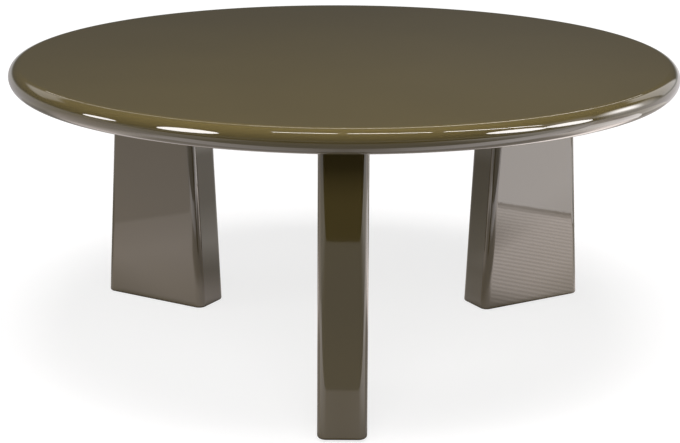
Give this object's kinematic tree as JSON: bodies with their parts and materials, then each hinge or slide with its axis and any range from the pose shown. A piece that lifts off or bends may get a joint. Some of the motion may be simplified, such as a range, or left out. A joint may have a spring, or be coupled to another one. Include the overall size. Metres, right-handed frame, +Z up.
{
  "type": "round cocktail table",
  "caption": "Low round table with a half-round rim on radial slab legs that widen to the foot, in high-gloss lacquer, with levelling glides.",
  "frame": {"origin": "on the floor, on the table's axis, under the middle of the top", "axes": "+Z up through the middle of the top; -Y towards the front leg, which faces the picture's camera; +X to that camera's right"},
  "size_m": [1.0396, 1.0398, 0.46],
  "materials": {
    "lacquer": "high-gloss olive-brown lacquer over a filled and sanded wood core",
    "plate_steel": "zinc-plated mild steel, lightly brushed",
    "screw_steel": "zinc-plated steel",
    "insert_brass": "turned brass",
    "glide_nylon": "moulded black-brown nylon"
  },
  "bodies": {
    "table": {"table_top": "lacquer", "leg_front": "lacquer", "leg_plate_front": "plate_steel", "leg_right": "lacquer", "leg_plate_right": "plate_steel", "leg_left": "lacquer", "leg_plate_left": "plate_steel", "plate_screws": "screw_steel", "plate_inserts": "insert_brass", "leg_screws": "screw_steel", "leg_inserts": "insert_brass", "glide_inserts": "insert_brass"},
    "glide_front_outer": {"glide_stem_front_outer": "screw_steel", "glide_pad_front_outer": "glide_nylon"},
    "glide_front_inner": {"glide_stem_front_inner": "screw_steel", "glide_pad_front_inner": "glide_nylon"},
    "glide_right_outer": {"glide_stem_right_outer": "screw_steel", "glide_pad_right_outer": "glide_nylon"},
    "glide_right_inner": {"glide_stem_right_inner": "screw_steel", "glide_pad_right_inner": "glide_nylon"},
    "glide_left_outer": {"glide_stem_left_outer": "screw_steel", "glide_pad_left_outer": "glide_nylon"},
    "glide_left_inner": {"glide_stem_left_inner": "screw_steel", "glide_pad_left_inner": "glide_nylon"}
  },
  "joints": [
    {"name": "glide_front_outer_screw", "type": "slide", "parent": "table", "child": "glide_front_outer", "axis": [0, 0, -1], "range_m": [0, 0.008]},
    {"name": "glide_front_inner_screw", "type": "slide", "parent": "table", "child": "glide_front_inner", "axis": [0, 0, -1], "range_m": [0, 0.008]},
    {"name": "glide_right_outer_screw", "type": "slide", "parent": "table", "child": "glide_right_outer", "axis": [0, 0, -1], "range_m": [0, 0.008]},
    {"name": "glide_right_inner_screw", "type": "slide", "parent": "table", "child": "glide_right_inner", "axis": [0, 0, -1], "range_m": [0, 0.008]},
    {"name": "glide_left_outer_screw", "type": "slide", "parent": "table", "child": "glide_left_outer", "axis": [0, 0, -1], "range_m": [0, 0.008]},
    {"name": "glide_left_inner_screw", "type": "slide", "parent": "table", "child": "glide_left_inner", "axis": [0, 0, -1], "range_m": [0, 0.008]}
  ]
}
